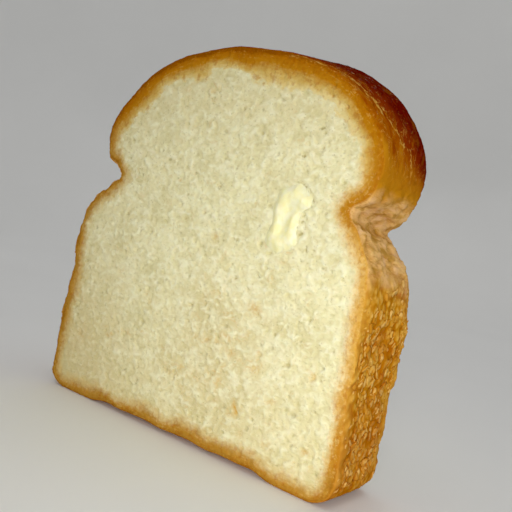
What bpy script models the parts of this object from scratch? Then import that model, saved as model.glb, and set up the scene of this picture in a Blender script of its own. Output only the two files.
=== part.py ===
"""A thick slice of white tin bread standing on its bottom crust, with a small dab of butter on the cut face.

X runs across the slice, Y through its thickness and Z up. The buttered face looks towards -Y. The origin is
on the floor, in the middle of the flat underside. Shapes are worked out in millimetres and scaled to metres
once.
"""

import math
from collections import namedtuple

import bmesh
import bpy
from mathutils import Matrix, Vector, noise
from mathutils.geometry import delaunay_2d_cdt, intersect_point_line

MM = 0.001

# The loaf: a straight tin body, a crease on each side where the dough spilled over the tin, and a risen dome.
THICKNESS = 24.5
CORNER_RADIUS = 6.5
DOME_HEIGHT = 87.8
FRONT_CROWN = 117.6
BACK_CROWN = 120.3
CREASE_TO_BELLY = 15.0
CREASE_LIP = 3.2

# Half widths from the middle of the slice, for each side of each cut. The loaf is a little lopsided: its
# crease slopes from the front cut to the back one, its left shoulder has sunk, and the right of its back has
# swelled.
Side = namedtuple("Side", "base belly crease crease_height dome shoulder_drop swell")
FRONT_RIGHT = Side(56.2, 54.9, 45.0, 75.2, 52.2, 1.0, 0.0)
FRONT_LEFT = Side(58.4, 57.0, 41.6, 75.0, 51.2, 2.4, 0.0)
BACK_RIGHT = Side(55.8, 56.4, 45.0, 72.0, 53.0, 0.3, 2.6)
BACK_LEFT = Side(57.4, 56.8, 43.2, 73.2, 52.0, 1.2, 0.0)

# The dome's curve on each side, from its shoulder up: how far round the ellipse each point lies, and its share
# of the shoulder's drop and of the swell.
Turn = namedtuple("Turn", "degrees sunk swelled")
DOME_TURNS = (
    Turn(0, 0.1, 0.0),
    Turn(14, 0.6, 0.0),
    Turn(28, 1.0, 0.0),
    Turn(46, 0.4, 0.55),
    Turn(66, 0.0, 1.0),
)

# Relief of the crust: blisters on the tin sides, folds in the crease, slow waves on the dome.
RING_STEP = 1.9
CRUST_COLUMNS = 13
CUT_EDGE_ROUND = 0.35
BLISTER_HEIGHT = 0.8
BLISTER_WIDTH = 3.4
BLISTER_LENGTH = 7.5
SIDE_WAVE = 0.6
SIDE_WAVE_LENGTH = 22.0
DOME_WAVE = 0.6
DOME_WAVE_LENGTH = 17.0
FOLD_HEIGHT = 0.3
FOLD_PITCH = 4.6

# The underside is flat, but for the middle of its front edge, which curls up off the floor.
FOOT_BLEND = 2.0
EDGE_CURL = 1.6
EDGE_CURL_DEPTH = 4.0
EDGE_CURL_HALF_WIDTH = 38.0
EDGE_CURL_FADE = 9.0

# The two cut faces: the knife leaves them flat to a fraction of a millimetre.
FACE_STEP = 4.6
FACE_WAVE = 0.3
FACE_WAVE_LENGTH = 21.0
FACE_MARGIN = 9.0

# The dab of butter, drawn from the ridges that the knife left in it. Each runs between two points, given as
# (across, up) from the dab's centre: a round hood over the top right, the long left side, the lobe at the
# bottom and a thin ridge on the far side of the groove.
BUTTER_CENTRE = Vector((26.3, 71.2))
BUTTER_HEIGHT = 1.8
BUTTER_BASE_SHARE = 0.2
BUTTER_EDGE_LEVEL = 0.12
BUTTER_REACH = 12.5
BUTTER_REACH_STEP = 0.05
BUTTER_GAP = 0.35
BUTTER_BACK = -0.5 * THICKNESS - 0.5 * FACE_WAVE - BUTTER_GAP
BUTTER_SPOKES = 56
BUTTER_RINGS = 14
Ridge = namedtuple("Ridge", "start end half_width share")
BUTTER_RIDGES = (
    Ridge(Vector((4.3, 4.8)), Vector((1.8, 6.2)), 2.1, 0.72),
    Ridge(Vector((1.8, 6.2)), Vector((-1.2, 5.0)), 2.3, 0.82),
    Ridge(Vector((-1.2, 5.0)), Vector((-2.5, 1.2)), 2.1, 0.82),
    Ridge(Vector((-2.5, 1.2)), Vector((-2.6, -4.4)), 1.7, 0.62),
    Ridge(Vector((-3.2, -6.9)), Vector((-1.0, -7.7)), 2.1, 0.78),
    Ridge(Vector((-1.0, -7.7)), Vector((2.4, -6.6)), 1.9, 0.66),
    Ridge(Vector((2.9, 1.0)), Vector((2.4, -1.8)), 1.2, 0.56),
    Ridge(Vector((2.4, -1.8)), Vector((2.0, -4.4)), 1.6, 0.50),
)

# The groove that the knife pressed under the hood and down beside the long left side, from corner to corner.
BUTTER_GROOVE = (Vector((5.0, 2.6)), Vector((0.9, 1.5)), Vector((-0.4, -1.6)), Vector((-0.8, -4.8)))
GROOVE_HALF_WIDTH = 0.95
GROOVE_SHARE = 0.6


def clear_scene():
    for old in list(bpy.data.objects):
        bpy.data.objects.remove(old, do_unlink=True)


def new_collection(name):
    collection = bpy.data.collections.new(name)
    bpy.context.scene.collection.children.link(collection)
    return collection


def new_material(name, colour, roughness):
    material = bpy.data.materials.new(name)
    material.use_nodes = True
    surface = material.node_tree.nodes["Principled BSDF"]
    surface.inputs["Base Color"].default_value = (*colour, 1.0)
    surface.inputs["Roughness"].default_value = roughness
    surface.inputs["Metallic"].default_value = 0.0
    material.diffuse_color = (*colour, 1.0)
    return material


def new_object(name, shape, material, collection):
    """A named object from a bmesh drawn in millimetres, shaded smooth."""
    shape.transform(Matrix.Scale(MM, 4))
    mesh = bpy.data.meshes.new(name)
    shape.to_mesh(mesh)
    shape.free()
    mesh.materials.append(material)
    made = bpy.data.objects.new(name, mesh)
    collection.objects.link(made)
    return made


def shade_smooth(shape, sharp_rings):
    """Shades every face smooth, and keeps the edges round some rings of corners sharp."""
    for face in shape.faces:
        face.smooth = True
    for ring in sharp_rings:
        for i, vert in enumerate(ring):
            shape.edges.get((ring[i - 1], vert)).smooth = False


def ease(value, low, high):
    """0 below low, 1 above high, and a smooth ramp between them."""
    t = min(max((value - low) / (high - low), 0.0), 1.0)
    return t * t * (3.0 - 2.0 * t)


def side_stations(side, crown):
    """Points (half width, height) along one side of an outline, from near the bottom to the crown."""
    rounding = 0.29 * CORNER_RADIUS
    bulge = side.belly - side.crease
    lip = side.dome - side.crease
    stations = [
        (0.42 * side.base, 0.0),
        (side.base - 1.5 * CORNER_RADIUS, 0.0),
        (side.base - CORNER_RADIUS, 0.0),
        (side.base - rounding, rounding),
        (side.base, CORNER_RADIUS),
        (side.base, 2.0 * CORNER_RADIUS),
        (0.5 * (side.base + side.belly), 0.42 * side.crease_height),
        (side.belly, 0.66 * side.crease_height),
        (side.belly - 0.12 * bulge, side.crease_height - 0.95 * CREASE_TO_BELLY),
        (side.belly - 0.40 * bulge, side.crease_height - 0.50 * CREASE_TO_BELLY),
        (side.crease + 0.9 * CREASE_LIP, side.crease_height - CREASE_LIP),
        (side.crease, side.crease_height),
        (side.crease + CREASE_LIP, side.crease_height + 0.85 * CREASE_LIP),
        (side.dome - 0.19 * lip, side.crease_height + 0.46 * (DOME_HEIGHT - side.crease_height)),
    ]
    for degrees, sunk, swelled in DOME_TURNS:
        turn = math.radians(degrees)
        reach = 1.0 + (swelled * side.swell - sunk * side.shoulder_drop) / side.dome
        across = reach * side.dome * math.cos(turn)
        up = DOME_HEIGHT + reach * (crown - DOME_HEIGHT) * math.sin(turn)
        stations.append((across, up))
    return stations


def outline_stations(right, left, crown):
    """The outline of one cut as a loop of (x, z), anticlockwise from the middle of its bottom."""
    going_up = side_stations(right, crown)
    going_down = [(-across, up) for across, up in reversed(side_stations(left, crown))]
    return [Vector(point) for point in ((0.0, 0.0), *going_up, (0.0, crown), *going_down)]


def curve_point(before, start, end, after, t):
    """A point of the Catmull-Rom curve between start and end."""
    return 0.5 * (
        2.0 * start
        + (end - before) * t
        + (2.0 * before - 5.0 * start + 4.0 * end - after) * t * t
        + (3.0 * start - before - 3.0 * end + after) * t ** 3
    )


def smooth_loop(stations, counts):
    """The closed curve through the stations, with a given count of points in each stretch."""
    size = len(stations)
    points = []
    for i, count in enumerate(counts):
        around = [stations[(i + step) % size] for step in (-1, 0, 1, 2)]
        points += [curve_point(*around, k / count) for k in range(count)]
    return points


def loop_normals(points):
    """Unit normals that point out of an anticlockwise loop."""
    size = len(points)
    normals = []
    for i in range(size):
        along = points[(i + 1) % size] - points[i - 1]
        normals.append(Vector((along.y, -along.x)).normalized())
    return normals


def crust_relief(x, y, z):
    """How far the crust stands out of, or sinks below, the plain loft at a point."""
    tin = ease(z, 4.0, 14.0) * (1.0 - ease(z, 58.0, 67.0))
    crease = ease(z, 61.0, 69.0) * (1.0 - ease(z, 81.0, 89.0))
    dome = ease(z, 83.0, 93.0)
    blister = noise.noise(Vector((x / BLISTER_WIDTH, y / BLISTER_WIDTH, z / BLISTER_LENGTH)))
    blister += 0.5 * noise.noise(Vector((x, y, 0.6 * z)) / (0.55 * BLISTER_WIDTH))
    side_wave = noise.noise(Vector((x + 1.0, y, z)) / SIDE_WAVE_LENGTH)
    dome_wave = noise.noise(Vector((x, 0.6 * y, z)) / DOME_WAVE_LENGTH)
    drift = 1.4 * noise.noise(Vector((x, y, z)) / (4.0 * FOLD_PITCH))
    fold = math.sin(math.tau * ((z + 0.35 * y) / FOLD_PITCH + drift))
    relief = tin * (BLISTER_HEIGHT * blister + SIDE_WAVE * side_wave)
    return relief + crease * FOLD_HEIGHT * fold + dome * DOME_WAVE * dome_wave


def edge_curl(x, y):
    """How far the underside curls up along the middle of its front edge."""
    depth = 1.0 - ease(y + 0.5 * THICKNESS, 0.0, EDGE_CURL_DEPTH)
    across = 1.0 - ease(abs(x), EDGE_CURL_HALF_WIDTH - EDGE_CURL_FADE, EDGE_CURL_HALF_WIDTH)
    return EDGE_CURL * depth * across * (1.0 + 0.5 * noise.noise(Vector((x / 9.0, 0.0, 0.0))))


def crust_points():
    """The rings of the crust, from the front cut to the back one."""
    front = outline_stations(FRONT_RIGHT, FRONT_LEFT, FRONT_CROWN)
    back = outline_stations(BACK_RIGHT, BACK_LEFT, BACK_CROWN)
    stretches = zip(front, front[1:] + front[:1])
    counts = [max(1, round((end - start).length / RING_STEP)) for start, end in stretches]
    front = smooth_loop(front, counts)
    back = smooth_loop(back, counts)
    rings = []
    for column in range(CRUST_COLUMNS + 1):
        across = column / CRUST_COLUMNS
        y = (across - 0.5) * THICKNESS
        inset = CUT_EDGE_ROUND if column in (0, CRUST_COLUMNS) else 0.0
        loop = [a.lerp(b, across) for a, b in zip(front, back)]
        ring = []
        for (x, z), normal in zip(loop, loop_normals(loop)):
            above = ease(z, 0.0, FOOT_BLEND)
            x, z = Vector((x, z)) + above * (crust_relief(x, y, z) - inset) * normal
            z += (1.0 - above) * edge_curl(x, y)
            ring.append(Vector((x, y, max(z, 0.0))))
        rings.append(ring)
    return rings


def rim_distance(point, loop):
    """The distance from a point to the nearest corner of a loop."""
    return min((point - corner).length for corner in loop)


def inside(point, loop):
    """Whether a point lies within a closed loop, by counting the edges to its right."""
    crossings = 0
    for start, end in zip(loop, loop[1:] + loop[:1]):
        if (start.y > point.y) != (end.y > point.y):
            share = (point.y - start.y) / (end.y - start.y)
            if start.x + share * (end.x - start.x) > point.x:
                crossings += 1
    return crossings % 2 == 1


def inner_points(loop):
    """Points in even rows within a loop, clear of its rim."""
    low_x, high_x = min(p.x for p in loop), max(p.x for p in loop)
    low_z, high_z = min(p.y for p in loop), max(p.y for p in loop)
    row_step = FACE_STEP * math.sqrt(0.75)
    points = []
    for row in range(int((high_z - low_z) / row_step) + 1):
        for column in range(int((high_x - low_x) / FACE_STEP) + 1):
            spot = Vector((low_x + (column + 0.5 * (row % 2)) * FACE_STEP, low_z + row * row_step))
            if inside(spot, loop) and rim_distance(spot, loop) > 0.6 * FACE_STEP:
                points.append(spot)
    return points


def close_face(shape, ring, outward, seed):
    """Fills one cut with even triangles, which wave a little away from the crust."""
    loop = [Vector((vert.co.x, vert.co.z)) for vert in ring]
    corners = list(range(len(loop)))
    spots, _, triangles, *_ = delaunay_2d_cdt(loop + inner_points(loop), [], [corners], 1, 1e-4)
    verts = list(ring)
    for spot in spots[len(ring):]:
        fade = ease(rim_distance(spot, loop), 0.0, FACE_MARGIN)
        wave = FACE_WAVE * fade * noise.noise(Vector((spot.x, seed, spot.y)) / FACE_WAVE_LENGTH)
        verts.append(shape.verts.new((spot.x, ring[0].co.y + outward * wave, spot.y)))
    for triangle in triangles:
        shape.faces.new([verts[i] for i in triangle])


def make_bread(material, collection):
    """The slice: a band of crust lofted from the front outline to the back one, closed by the two cuts."""
    shape = bmesh.new()
    rings = [[shape.verts.new(point) for point in ring] for ring in crust_points()]
    for front, back in zip(rings, rings[1:]):
        for i in range(len(front)):
            shape.faces.new((front[i - 1], back[i - 1], back[i], front[i]))
    close_face(shape, rings[0], -1.0, 30.0)
    close_face(shape, rings[-1], 1.0, 80.0)
    bmesh.ops.recalc_face_normals(shape, faces=shape.faces)
    shade_smooth(shape, [rings[0], rings[-1]])
    return new_object("bread_slice", shape, material, collection)


def segment_distance(spot, start, end):
    """The distance from a spot to the nearest point between two others."""
    along = intersect_point_line(spot, start, end)[1]
    return (spot - start.lerp(end, min(max(along, 0.0), 1.0))).length


def butter_level(spot):
    """How much butter is left at a spot: about 1 on the crests of the ridges, and nearly 0 away from them."""
    total = 0.0
    for ridge in BUTTER_RIDGES:
        reach = segment_distance(spot, ridge.start, ridge.end) / ridge.half_width
        total += (ridge.share * math.exp(-reach ** 2)) ** 3
    groove = min(segment_distance(spot, *ends) for ends in zip(BUTTER_GROOVE, BUTTER_GROOVE[1:]))
    return total ** (1.0 / 3.0) * (1.0 - GROOVE_SHARE * math.exp(-(groove / GROOVE_HALF_WIDTH) ** 2))


def butter_edge(angle):
    """The outermost spot in one direction from the dab's centre where there is still butter."""
    spoke = Vector((math.cos(angle), math.sin(angle)))
    reach = BUTTER_REACH
    while butter_level(reach * spoke) < BUTTER_EDGE_LEVEL:
        reach -= BUTTER_REACH_STEP
    return reach * spoke


def butter_point(spot, share):
    """The point of the dab's front over a spot, at a share of the way from its centre to its edge."""
    crown = math.sqrt(max(1.0 - share ** 4, 0.0))
    height = BUTTER_HEIGHT * crown * (BUTTER_BASE_SHARE + butter_level(spot))
    place = BUTTER_CENTRE + spot
    return Vector((place.x, BUTTER_BACK - height, place.y))


def make_butter(material, collection):
    """The dab: rings that close in from its edge over the ridges to its centre, and a flat back."""
    shape = bmesh.new()
    edge = [butter_edge(math.tau * i / BUTTER_SPOKES) for i in range(BUTTER_SPOKES)]
    rings = []
    for k in range(BUTTER_RINGS):
        share = math.cos(0.5 * math.pi * k / BUTTER_RINGS)
        rings.append([shape.verts.new(butter_point(share * spot, share)) for spot in edge])
    for outer, inner in zip(rings, rings[1:]):
        for i in range(BUTTER_SPOKES):
            shape.faces.new((outer[i - 1], outer[i], inner[i], inner[i - 1]))
    front = shape.verts.new(butter_point(Vector((0.0, 0.0)), 0.0))
    back = shape.verts.new((BUTTER_CENTRE.x, BUTTER_BACK, BUTTER_CENTRE.y))
    for i in range(BUTTER_SPOKES):
        shape.faces.new((rings[-1][i - 1], rings[-1][i], front))
        shape.faces.new((rings[0][i], rings[0][i - 1], back))
    shade_smooth(shape, [rings[0]])
    return new_object("butter_dab", shape, material, collection)


def main():
    clear_scene()
    collection = new_collection("buttered_bread")
    bread = new_material("bread", (0.72, 0.55, 0.28), 0.85)
    butter = new_material("butter", (0.90, 0.83, 0.45), 0.35)
    make_bread(bread, collection)
    make_butter(butter, collection)


main()
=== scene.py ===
# %% [markdown]
# # A buttered slice of bread
#
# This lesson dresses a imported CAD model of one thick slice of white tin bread. The slice stands on its
# bottom crust, with a small curl of butter on its cut face. The CAD solids give the true size and outline.
# Here they get what the eye expects of bread: a porous crumb, a blistered crust, a dark, leathery dome and
# waxy butter.

# %% Load the frame
import math

import bmesh
import bpy
import numpy as np
from mathutils import Matrix, Vector


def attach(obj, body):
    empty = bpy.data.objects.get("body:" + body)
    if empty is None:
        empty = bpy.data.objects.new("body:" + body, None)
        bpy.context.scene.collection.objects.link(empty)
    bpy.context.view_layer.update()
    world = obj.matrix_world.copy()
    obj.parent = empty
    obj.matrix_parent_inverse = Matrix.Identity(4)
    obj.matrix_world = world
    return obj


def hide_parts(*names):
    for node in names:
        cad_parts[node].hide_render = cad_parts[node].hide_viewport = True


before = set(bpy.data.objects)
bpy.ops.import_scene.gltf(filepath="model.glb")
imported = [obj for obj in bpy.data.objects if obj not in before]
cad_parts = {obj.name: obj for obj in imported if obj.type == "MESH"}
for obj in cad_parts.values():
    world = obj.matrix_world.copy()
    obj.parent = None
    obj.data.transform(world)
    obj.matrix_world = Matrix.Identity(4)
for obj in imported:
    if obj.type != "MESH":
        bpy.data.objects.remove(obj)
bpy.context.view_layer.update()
MM = 0.001

# %% [markdown]
# ## The camera
#
# The picture was taken from low down and close by, a little to the right of the buttered face, with the
# camera rolled to one side. A camera could be aimed with a Track To constraint, but a roll is easier to
# keep exact when the camera's matrix is built from its own three axes.

# %% Place the camera
CAMERA_PLACE = Vector((133.3, -169.5, 68.5)) * MM
CAMERA_AZIMUTH = math.radians(36.09)
CAMERA_ELEVATION = math.radians(2.87)
CAMERA_ROLL = math.radians(11.2)
CAMERA_LENS = 49.2


def camera_axes(azimuth, elevation, roll):
    """The camera's right, up and backward directions."""
    back = Vector((
        math.sin(azimuth) * math.cos(elevation),
        -math.cos(azimuth) * math.cos(elevation),
        math.sin(elevation),
    ))
    level_right = Vector((math.cos(azimuth), math.sin(azimuth), 0.0))
    level_up = back.cross(level_right)
    right = math.cos(roll) * level_right + math.sin(roll) * level_up
    return right, back.cross(right), back


camera = bpy.data.objects.new("camera", bpy.data.cameras.new("camera"))
bpy.context.scene.collection.objects.link(camera)
bpy.context.scene.camera = camera
camera.data.lens = CAMERA_LENS
camera.data.sensor_width = 36.0
camera.data.clip_start = 0.01
turn = Matrix(camera_axes(CAMERA_AZIMUTH, CAMERA_ELEVATION, CAMERA_ROLL)).transposed().to_4x4()
camera.matrix_world = Matrix.Translation(CAMERA_PLACE) @ turn
print("camera at", [round(value, 3) for value in camera.location])

# %% [markdown]
# ## Helpers for node trees
#
# Geometry Nodes and shader nodes are built the same way: add a node, set its options, then link or fill its
# inputs. Dragging nodes about by hand works too, but a few helpers keep a scripted tree readable and make
# it come out the same each time. They serve both kinds of tree, because maths, noise and mix nodes exist in
# both.


# %% Build nodes with one call
def put(tree, kind, inputs=None, **options):
    """Adds a node. Sockets among the inputs are linked, and anything else is set as a value."""
    node = tree.nodes.new(kind)
    for name, value in options.items():
        setattr(node, name, value)
    for key, value in (inputs or {}).items():
        if isinstance(value, bpy.types.NodeSocket):
            tree.links.new(value, node.inputs[key])
        else:
            node.inputs[key].default_value = value
    return node


def new_tree(name, kind, sockets_in, sockets_out):
    """An empty node tree with named inputs and outputs. Each socket is (name, type, default)."""
    tree = bpy.data.node_groups.new(name, kind)
    for direction, sockets in (("INPUT", sockets_in), ("OUTPUT", sockets_out)):
        for label, short_type, default in sockets:
            socket_type = "NodeSocket" + short_type
            socket = tree.interface.new_socket(label, in_out=direction, socket_type=socket_type)
            if default is not None:
                socket.default_value = default
    return tree, tree.nodes.new("NodeGroupInput").outputs, tree.nodes.new("NodeGroupOutput").inputs


GEOMETRY = ("Geometry", "Geometry", None)
print("node helpers ready")


# %% Sums and ramps
def calc(tree, operation, *values):
    """A Math node on sockets or numbers."""
    return put(tree, "ShaderNodeMath", dict(enumerate(values)), operation=operation).outputs[0]


def times(tree, first, second):
    """One value multiplied by another."""
    return calc(tree, "MULTIPLY", first, second)


def swing(tree, value, reach, base):
    """A base that a value from 0 to 1, such as noise, moves up and down by half the reach."""
    return calc(tree, "MULTIPLY_ADD", calc(tree, "SUBTRACT", value, 0.5), reach, base)


def mix(tree, share, first, second):
    """A value between two others."""
    return put(tree, "ShaderNodeMix", {0: share, 2: first, 3: second}).outputs[0]


def fade(tree, value, low, high, start=0.0, end=1.0):
    """A smooth ramp: start below low, end above high."""
    spans = {"Value": value, "From Min": low, "From Max": high, "To Min": start, "To Max": end}
    return put(tree, "ShaderNodeMapRange", spans, interpolation_type="SMOOTHSTEP").outputs["Result"]


def plateau(tree, value, low, full, fall, high):
    """1 from full to fall, and 0 below low and above high."""
    return times(tree, fade(tree, value, low, full), fade(tree, value, fall, high, 1.0, 0.0))


print("sums and ramps ready")

# %% Places and noise
X_AXIS = (1.0, 0.0, 0.0)
Y_AXIS = (0.0, 1.0, 0.0)


def split(tree, vector):
    """The X, Y and Z of a vector."""
    return put(tree, "ShaderNodeSeparateXYZ", {0: vector}).outputs


def vector_calc(tree, operation, *values):
    """A Vector Math node on vectors."""
    return put(tree, "ShaderNodeVectorMath", dict(enumerate(values)), operation=operation).outputs[0]


def scaled(tree, vector, factor):
    """A vector made longer or shorter."""
    return put(tree, "ShaderNodeVectorMath", {0: vector, "Scale": factor}, operation="SCALE").outputs[0]


def tilted(tree, vector, axis, degrees):
    """Coordinates turned about an axis."""
    settings = {"Vector": vector, "Axis": axis, "Angle": math.radians(degrees)}
    return put(tree, "ShaderNodeVectorRotate", settings).outputs[0]


def stretch(tree, vector, sizes):
    """Coordinates counted in cells of the given sizes along X, Y and Z, in millimetres."""
    counts = tuple(1.0 / (size * MM) for size in sizes)
    return vector_calc(tree, "MULTIPLY", vector, counts)


def cell_noise(tree, cells, detail=2.0, distortion=0.0, roughness=0.5):
    """Soft noise, 0 to 1, with one bump to about each cell."""
    settings = {"Detail": detail, "Distortion": distortion, "Roughness": roughness}
    return put(tree, "ShaderNodeTexNoise", {"Vector": cells, "Scale": 1.0, **settings}).outputs["Fac"]


def noise(tree, place, sizes, *settings):
    """Soft noise with bumps of the given sizes, in millimetres."""
    return cell_noise(tree, stretch(tree, place, sizes), *settings)


print("places and noise ready")

# %% [markdown]
# ## Helpers for pieces
#
# Each finished piece is a plain mesh whose object sits at the origin, because the export puts every object
# there. A live Geometry Nodes modifier would be lost or slow, so `settle` turns the evaluated object into a
# plain mesh and takes the modifiers off.


# %% Copy, modify and settle a mesh
def show(mesh, name):
    """Links a mesh to the scene as a new object."""
    made = bpy.data.objects.new(name, mesh)
    bpy.context.scene.collection.objects.link(made)
    return made


def copy_node(node, name):
    """A copy of a CAD node with its loose triangles joined, so that it is one closed skin."""
    skin = bmesh.new()
    skin.from_mesh(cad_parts[node].data)
    bmesh.ops.remove_doubles(skin, verts=skin.verts, dist=0.001 * MM)
    mesh = bpy.data.meshes.new(name)
    skin.to_mesh(mesh)
    skin.free()
    return show(mesh, name)


def settle(piece):
    """Turns a piece with live modifiers into a plain mesh."""
    graph = bpy.context.evaluated_depsgraph_get()
    shaped = piece.evaluated_get(graph)
    mesh = bpy.data.meshes.new_from_object(shaped, depsgraph=graph, preserve_all_data_layers=True)
    piece.modifiers.clear()
    piece.data = mesh


def grow(piece, tree, **values):
    """Runs a Geometry Nodes tree on a piece. Its inputs are set by their sockets' identifiers."""
    modifier = piece.modifiers.new(tree.name, "NODES")
    modifier.node_group = tree
    for item in tree.interface.items_tree:
        label = item.name.replace(" ", "_").lower()
        if item.in_out == "INPUT" and label in values:
            modifier[item.identifier] = values[label]
    settle(piece)


def even_skin(piece, step, rounds):
    """Remeshes a piece into small squares of one size, and smooths out their stair steps."""
    remesh = piece.modifiers.new("even skin", "REMESH")
    remesh.mode = "VOXEL"
    remesh.voxel_size = step
    smooth = piece.modifiers.new("no stair steps", "SMOOTH")
    smooth.factor = 0.5
    smooth.iterations = rounds
    settle(piece)


def dress(piece, material):
    """Gives a piece its one material."""
    piece.data.materials.clear()
    piece.data.materials.append(material)
    print("material:", material.name)


def count(piece):
    """How many triangles a piece has."""
    return sum(len(polygon.vertices) - 2 for polygon in piece.data.polygons)


print("piece helpers ready")

# %% [markdown]
# ## A fine, even skin for the slice
#
# The CAD slice has a few thousand large triangles, too coarse to carry pores. Subdividing it would only
# multiply its long thin triangles. A voxel remesh gives small squares of one size all over instead, rounds
# the cut edges a little, as soft bread does, and a few rounds of smoothing take out its stair steps.

# %% Remesh the slice
SKIN_STEP = 0.46 * MM

bread = copy_node("bread_slice", "bread")
even_skin(bread, SKIN_STEP, 7)
print("slice skin:", len(bread.data.vertices), "points")

# %% [markdown]
# ## Where the crust is
#
# The browning depends on how deep a point lies under the crust, measured across the cut face. Painting that
# by hand would be slow. Instead, the band of crust is cut out of the CAD slice as an object of its own, and
# Geometry Nodes can then ask each point of the skin how far it is from that band.

# %% Cut out the band of crust
CUT_FACING = 0.8

band = copy_node("bread_slice", "crust band")
band_skin = bmesh.new()
band_skin.from_mesh(band.data)
band_skin.normal_update()
cut_faces = [face for face in band_skin.faces if abs(face.normal.y) > CUT_FACING]
bmesh.ops.delete(band_skin, geom=cut_faces, context="FACES")
band_skin.to_mesh(band.data)
band_skin.free()
print("crust band:", len(band.data.polygons), "faces")

# %% [markdown]
# ## Marks in the crumb
#
# A real slice has a few accidents: short tears where the knife dragged, pinholes, and brown specks that were
# folded into the dough. They are few and each has its own place, so a short list suits them better than a
# random texture. Each mark sinks the skin a little and keeps its depth and its brown as attributes. The
# material paints shade into each hollow, and a stain where there is brown.

# %% The marks
# (across, up, length, width, slant in degrees, depth), in millimetres, then how brown the stain is. Those
# with no brown are open holes, which get only painted shade, olive-grey, in their hollow. First come the
# tears, pinholes and stains of the whole face, and then those round the butter, most of them slits whose
# painted shade draws a dark line along its edge.
MARKS = (
    (31.8, 95.8, 2.8, 0.8, 28, 1.0, 0.0),
    (27.7, 87.9, 1.6, 1.2, 0, 0.8, 0.1),
    (0.8, 75.8, 1.4, 1.4, 0, 0.8, 0.1),
    (-3.1, 67.9, 1.8, 1.2, 20, 0.7, 0.1),
    (-1.5, 40.1, 1.4, 1.6, 0, 0.7, 0.0),
    (20.7, 53.3, 2.2, 0.8, -15, 0.6, 0.0),
    (13.0, 51.3, 1.6, 1.4, 0, 0.8, 0.1),
    (34.6, 99.2, 3.4, 2.4, 30, 0.3, 0.0),
    (38.2, 97.1, 3.0, 2.2, -20, 0.3, 0.0),
    (-10.1, 65.0, 1.6, 1.2, 0, 0.5, 0.1),
    (3.0, 61.7, 2.4, 2.6, 20, 0.3, 0.38),
    (21.7, 44.3, 4.4, 3.0, -20, 0.2, 0.48),
    (3.4, 43.3, 2.6, 4.4, 10, 0.3, 0.12),
    (-32.5, 44.1, 3.0, 4.0, 0, 0.2, 0.14),
    (7.2, 31.9, 2.6, 1.6, 30, 0.3, 0.36),
    (16.4, 30.4, 4.0, 2.2, 0, 0.2, 0.38),
    (26.0, 33.0, 1.4, 1.4, 0, 0.3, 0.45),
    (43.8, 31.7, 2.4, 3.0, 10, 0.3, 0.40),
    (21.8, 15.9, 3.8, 1.5, -62, 0.4, 0.90),
    (46.3, 12.1, 2.4, 1.9, 20, 0.3, 0.50),
    (25.0, 9.8, 2.0, 2.4, 0, 0.3, 0.20),
    (34.0, 9.9, 5.0, 3.0, -20, 0.1, 0.25),
    (1.7, 13.4, 2.2, 1.0, 20, 0.4, 0.05),
    (-46.6, 19.1, 4.0, 4.0, 0, 0.2, 0.20),
    (28.0, 80.6, 2.4, 0.6, -8, 0.5, 0.0),
    (30.2, 79.9, 2.2, 0.6, -26, 0.6, 0.0),
    (32.1, 78.6, 2.0, 0.6, -50, 0.6, 0.0),
    (33.5, 76.4, 1.8, 0.8, -66, 0.8, 0.0),
    (31.6, 74.4, 2.8, 0.8, 20, 1.0, 0.0),
    (31.4, 72.3, 1.2, 1.6, 15, 0.7, 0.0),
    (32.5, 71.4, 0.9, 1.3, -20, 0.6, 0.0),
    (31.4, 70.5, 1.5, 0.8, 30, 0.8, 0.0),
    (32.4, 69.2, 1.0, 1.9, 10, 0.7, 0.0),
    (31.5, 67.3, 1.1, 1.7, -25, 0.8, 0.0),
    (34.3, 63.5, 0.8, 2.2, 10, 0.7, 0.0),
    (23.0, 60.3, 1.6, 0.8, 30, 0.6, 0.05),
    (21.3, 62.6, 1.6, 2.4, 0, 0.2, 0.35),
    (27.4, 58.8, 5.0, 1.6, 0, 0.2, 0.22),
)
print(len(MARKS), "marks")


# %% Press the marks into the front face
def press_marks(piece, marks):
    """Sinks each mark into the front of a piece, and keeps its depth, which the material paints as shade,
    and its brown as attributes.
    """
    mesh = piece.data
    points = np.empty(3 * len(mesh.vertices))
    mesh.vertices.foreach_get("co", points)
    points = points.reshape(-1, 3) / MM
    on_front = points[:, 1] < 0.0
    hollow, brown = np.zeros(len(points)), np.zeros(len(points))
    for across, up, length, width, slant, depth, stain in marks:
        lean = math.radians(slant)
        side = (points[:, 0] - across) * math.cos(lean) + (points[:, 2] - up) * math.sin(lean)
        rise = (points[:, 2] - up) * math.cos(lean) - (points[:, 0] - across) * math.sin(lean)
        near = on_front * np.exp(-((2.0 * side / length) ** 2) - (2.0 * rise / width) ** 2)
        points[:, 1] += depth * near
        hollow = np.maximum(hollow, depth * near)
        brown = np.maximum(brown, stain * near)
    mesh.vertices.foreach_set("co", (points * MM).ravel())
    for name, values in (("hollow", hollow), ("brown", brown)):
        mesh.attributes.new(name, "FLOAT", "POINT").data.foreach_set("value", values)
    return int((brown > 0.05).sum())


print("stained points:", press_marks(bread, MARKS))

# %% [markdown]
# ## Relief of the crumb
#
# Crumb is a foam: bubbles of many sizes, cut open by the knife, between soft walls with torn fibres.
# Modelling each bubble as a Boolean would take thousands of cuts. A Voronoi texture gives the same look for
# less. Its smooth kind gives shallow cups side by side, and in its sharp kind a share of the cells, which
# differs from place to place, hold one deep pore each. Soft noise on top makes the cottony lumps.


# %% Crumb relief
def wander(tree, place, cell, reach):
    """Coordinates pushed about at random, so that textures read at them lose their straight lines."""
    shift = put(tree, "ShaderNodeTexNoise", {"Vector": stretch(tree, place, (cell,) * 3), "Scale": 1.0})
    return vector_calc(tree, "ADD", place, scaled(tree, shift.outputs["Color"], reach * MM))


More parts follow.
